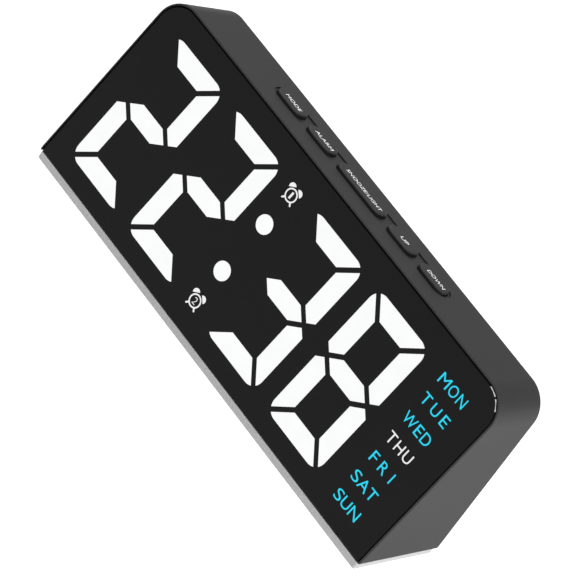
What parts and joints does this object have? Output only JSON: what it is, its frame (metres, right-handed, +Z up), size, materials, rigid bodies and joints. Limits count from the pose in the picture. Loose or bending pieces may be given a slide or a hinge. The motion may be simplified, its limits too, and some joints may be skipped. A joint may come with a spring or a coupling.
{
  "type": "day clock",
  "caption": "Leaning desk clock with a large segment time display, a weekday column, press keys on its sloping top and an anti-slip pad under a drafted one-piece housing",
  "frame": {"origin": "middle of the footprint, on the surface the clock stands on", "axes": "+X to the viewer's right along the display, +Y to the back, +Z up"},
  "size_m": [0.192, 0.0424, 0.0769],
  "materials": {
    "charcoal_plastic": "fine matt grain",
    "gloss_black": "polished",
    "lit_white": "milky, lit from behind",
    "milky_plastic": "translucent sheet",
    "white_plastic": "moulded",
    "green_board": "solder mask",
    "black_plastic": "moulded",
    "steel": "nickel plated",
    "black_steel": "black oxide",
    "pale_rubber": "soft matt"
  },
  "bodies": {
    "clock": {"housing": "charcoal_plastic", "front_panel": "gloss_black", "digit_1_lit_segments": "lit_white", "digit_2_lit_segments": "lit_white", "digit_3_lit_segments": "lit_white", "digit_4_lit_segments": "lit_white", "colon_dots": "lit_white", "digit_1_dark_segments": "gloss_black", "digit_2_dark_segments": "gloss_black", "digit_3_dark_segments": "gloss_black", "diffuser_sheet": "milky_plastic", "light_mask": "white_plastic", "display_board": "green_board", "display_leds": "white_plastic", "display_screws": "steel", "tact_switches": "black_plastic", "key_board": "green_board", "key_board_screws": "steel", "rear_cover": "charcoal_plastic", "cover_screws": "black_steel", "cell_door": "charcoal_plastic", "cell_door_screw": "black_steel", "coin_cell": "steel", "cell_contact_outer": "steel", "cell_contact_inner": "steel", "speaker_frame": "steel", "speaker_cone": "black_plastic", "main_board": "green_board", "main_board_screws": "steel", "usb_socket": "steel", "board_chips": "black_plastic", "crystal_can": "steel", "pin_headers": "white_plastic", "base_pad": "pale_rubber"},
    "mode": {"mode_key": "charcoal_plastic", "mode_plunger": "black_plastic"},
    "alarm": {"alarm_key": "charcoal_plastic", "alarm_plunger": "black_plastic"},
    "snooze": {"snooze_key": "charcoal_plastic", "snooze_plunger": "black_plastic"},
    "up": {"up_key": "charcoal_plastic", "up_plunger": "black_plastic"},
    "down": {"down_key": "charcoal_plastic", "down_plunger": "black_plastic"}
  },
  "joints": [
    {"name": "mode_press", "type": "slide", "parent": "clock", "child": "mode", "axis": [0, -0.134, -0.991], "range_m": [0, 0.0006], "stiffness_N_per_m": 900},
    {"name": "alarm_press", "type": "slide", "parent": "clock", "child": "alarm", "axis": [0, -0.134, -0.991], "range_m": [0, 0.0006], "stiffness_N_per_m": 900},
    {"name": "snooze_press", "type": "slide", "parent": "clock", "child": "snooze", "axis": [0, -0.134, -0.991], "range_m": [0, 0.0006], "stiffness_N_per_m": 900},
    {"name": "up_press", "type": "slide", "parent": "clock", "child": "up", "axis": [0, -0.134, -0.991], "range_m": [0, 0.0006], "stiffness_N_per_m": 900},
    {"name": "down_press", "type": "slide", "parent": "clock", "child": "down", "axis": [0, -0.134, -0.991], "range_m": [0, 0.0006], "stiffness_N_per_m": 900}
  ]
}
